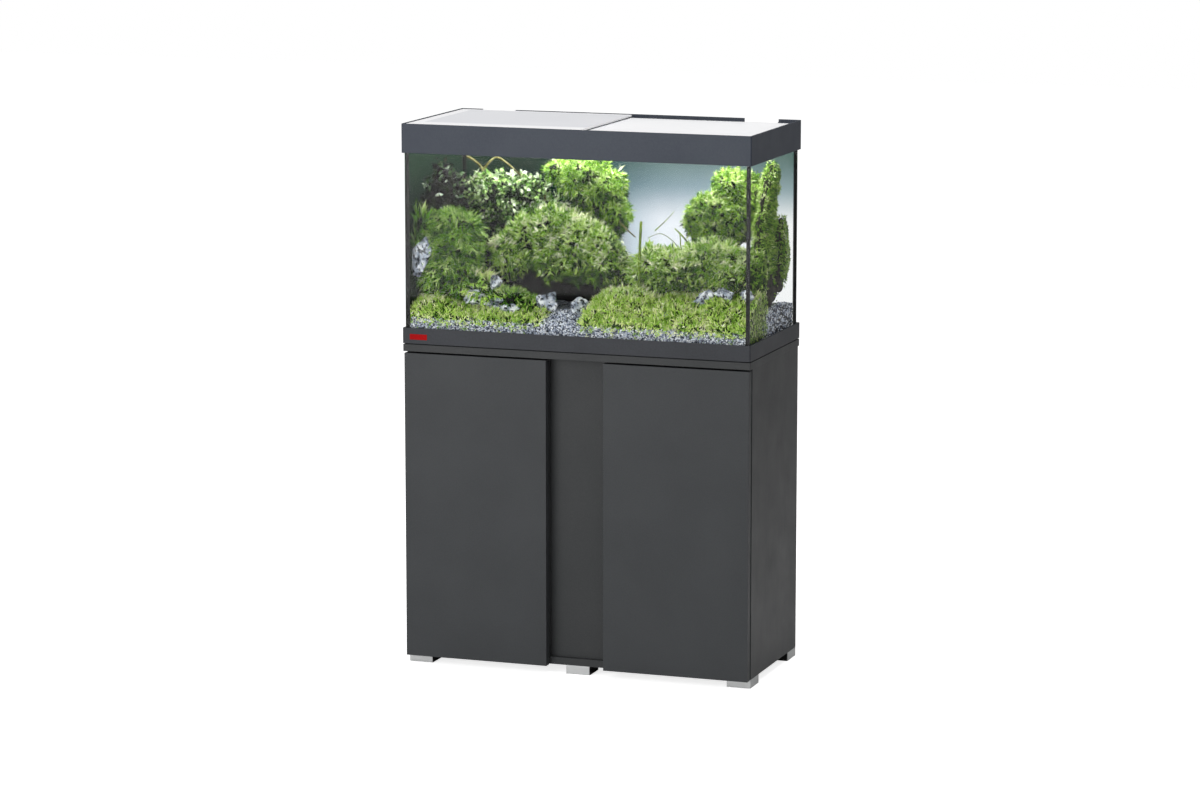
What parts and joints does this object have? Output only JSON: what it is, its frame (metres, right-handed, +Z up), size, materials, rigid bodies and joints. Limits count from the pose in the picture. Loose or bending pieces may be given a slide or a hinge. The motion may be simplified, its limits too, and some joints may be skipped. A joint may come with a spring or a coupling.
{
  "type": "aquarium on cabinet stand",
  "caption": "Rectangular planted glass aquarium with a hood and sliding lids, standing on a dark cabinet with hinged doors and short silver feet.",
  "frame": {"origin": "on the floor, at the centre of the footprint", "axes": "+Z up, +X to the right seen from the front, front faces -Y"},
  "size_m": [0.81, 0.37, 1.22],
  "materials": {
    "cabinet_board": "satin",
    "back_board": "matte",
    "door_board": "satin",
    "fitting_steel": "satin",
    "hinge_metal": "polished",
    "black_plastic": "matte",
    "silver_cover": "satin",
    "bumper_rubber": "satin",
    "mat_foam": "matte",
    "tank_glass": "polished",
    "silicone": "satin",
    "trim_plastic": "satin",
    "badge_red": "gloss",
    "backdrop": "matte",
    "gravel": "matte",
    "rock": "matte",
    "driftwood": "matte",
    "plant": "matte",
    "hood_plastic": "satin",
    "frosted_panel": "satin",
    "light_housing": "satin",
    "light_cover": "satin"
  },
  "bodies": {
    "cabinet_and_tank": {"left_side": "cabinet_board", "right_side": "cabinet_board", "bottom_board": "cabinet_board", "top_board": "cabinet_board", "left_partition": "cabinet_board", "right_partition": "cabinet_board", "centre_panel": "cabinet_board", "back_panel": "back_board", "left_shelf": "cabinet_board", "right_shelf": "cabinet_board", "shelf_pins": "fitting_steel", "back_screws": "fitting_steel", "feet": "black_plastic", "foot_covers": "silver_cover", "foot_screws": "fitting_steel", "hinge_plates": "hinge_metal", "hinge_arms": "hinge_metal", "hinge_screws": "fitting_steel", "door_bumpers": "bumper_rubber", "underlay_mat": "mat_foam", "bottom_pane": "tank_glass", "front_pane": "tank_glass", "back_pane": "tank_glass", "left_pane": "tank_glass", "right_pane": "tank_glass", "silicone_seams": "silicone", "front_trim": "trim_plastic", "back_trim": "trim_plastic", "left_trim": "trim_plastic", "right_trim": "trim_plastic", "badge": "badge_red", "background_film": "backdrop", "gravel_bed": "gravel", "carpet_plants": "plant", "front_rocks": "rock", "driftwood": "driftwood", "leaning_stone": "rock", "left_moss": "plant", "centre_moss": "plant", "crown_moss": "plant", "right_moss": "plant", "leafy_bush": "plant", "stem_plants": "plant"},
    "left_door_body": {"left_door": "door_board", "left_hinge_cups": "hinge_metal", "left_hinge_pins": "fitting_steel", "left_cup_screws": "fitting_steel"},
    "right_door_body": {"right_door": "door_board", "right_hinge_cups": "hinge_metal", "right_hinge_pins": "fitting_steel", "right_cup_screws": "fitting_steel"},
    "hood": {"hood_front": "hood_plastic", "hood_back": "hood_plastic", "hood_left": "hood_plastic", "hood_right": "hood_plastic", "light_bar": "light_housing", "light_diffuser": "light_cover", "light_clips": "black_plastic"},
    "left_lid": {"left_slide_panel": "frosted_panel"},
    "right_lid": {"right_slide_panel": "frosted_panel"}
  },
  "joints": [
    {"name": "left_door_hinge", "type": "hinge", "parent": "cabinet_and_tank", "child": "left_door_body", "pos_m": [-0.3955, -0.1725, 0.3635], "axis": [0, 0, -1], "range_deg": [0, 95]},
    {"name": "right_door_hinge", "type": "hinge", "parent": "cabinet_and_tank", "child": "right_door_body", "pos_m": [0.3955, -0.1725, 0.3635], "axis": [0, 0, 1], "range_deg": [0, 95]},
    {"name": "hood_lift", "type": "slide", "parent": "cabinet_and_tank", "child": "hood", "axis": [0, 0, 1], "range_m": [0, 0.12]},
    {"name": "left_lid_slide", "type": "slide", "parent": "hood", "child": "left_lid", "axis": [1, 0, 0], "range_m": [0, 0.385]},
    {"name": "right_lid_slide", "type": "slide", "parent": "hood", "child": "right_lid", "axis": [-1, 0, 0], "range_m": [0, 0.385]}
  ]
}
